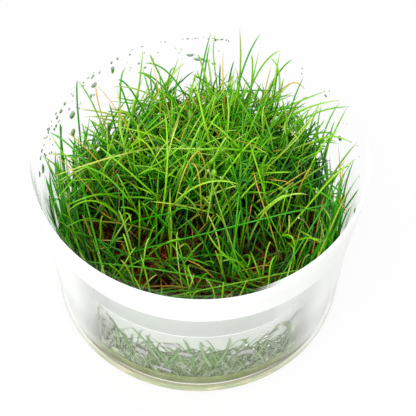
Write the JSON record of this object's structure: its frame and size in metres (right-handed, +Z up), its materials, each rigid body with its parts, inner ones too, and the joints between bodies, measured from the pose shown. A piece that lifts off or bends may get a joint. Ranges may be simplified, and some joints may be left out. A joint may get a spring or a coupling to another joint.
{
  "type": "tissue culture dwarf hairgrass",
  "caption": "Clear tapered plastic culture cup, open at the top, filled with a dense stand of fine needle-leaved hairgrass on a brown root mat over a thin layer of gel.",
  "frame": {"origin": "centre of the cup's foot, on the surface it stands on", "axes": "+Z up along the cup's axis, the shortest extent; -Y is the side that the picture shows nearest"},
  "size_m": [0.09, 0.09, 0.068],
  "materials": {
    "cup_clear": "clear plastic",
    "gel_clear": "clear soft gel",
    "root_brown": "matted fibre",
    "leaf_green": "waxy leaf",
    "leaf_dry": "dry leaf"
  },
  "bodies": {
    "root": {"culture_gel": "gel_clear", "cup": "cup_clear", "dry_leaf_1": "leaf_dry", "dry_leaf_2": "leaf_dry", "dry_leaf_3": "leaf_dry", "dry_leaf_4": "leaf_dry", "dry_leaf_5": "leaf_dry", "dry_leaf_6": "leaf_dry", "dry_leaf_7": "leaf_dry", "dry_leaf_8": "leaf_dry", "root_mat": "root_brown", "tuft_01": "leaf_green", "tuft_02": "leaf_green", "tuft_03": "leaf_green", "tuft_04": "leaf_green", "tuft_05": "leaf_green", "tuft_06": "leaf_green", "tuft_07": "leaf_green", "tuft_08": "leaf_green", "tuft_09": "leaf_green", "tuft_10": "leaf_green", "tuft_11": "leaf_green", "tuft_12": "leaf_green", "tuft_13": "leaf_green", "tuft_14": "leaf_green", "tuft_15": "leaf_green", "tuft_16": "leaf_green", "tuft_17": "leaf_green", "tuft_18": "leaf_green", "tuft_19": "leaf_green", "tuft_20": "leaf_green", "tuft_21": "leaf_green", "tuft_22": "leaf_green", "tuft_23": "leaf_green", "tuft_24": "leaf_green", "tuft_25": "leaf_green", "tuft_26": "leaf_green", "tuft_27": "leaf_green", "tuft_28": "leaf_green", "tuft_29": "leaf_green", "tuft_30": "leaf_green", "tuft_31": "leaf_green", "tuft_32": "leaf_green", "tuft_33": "leaf_green", "tuft_34": "leaf_green", "tuft_35": "leaf_green", "tuft_36": "leaf_green"}
  },
  "joints": []
}
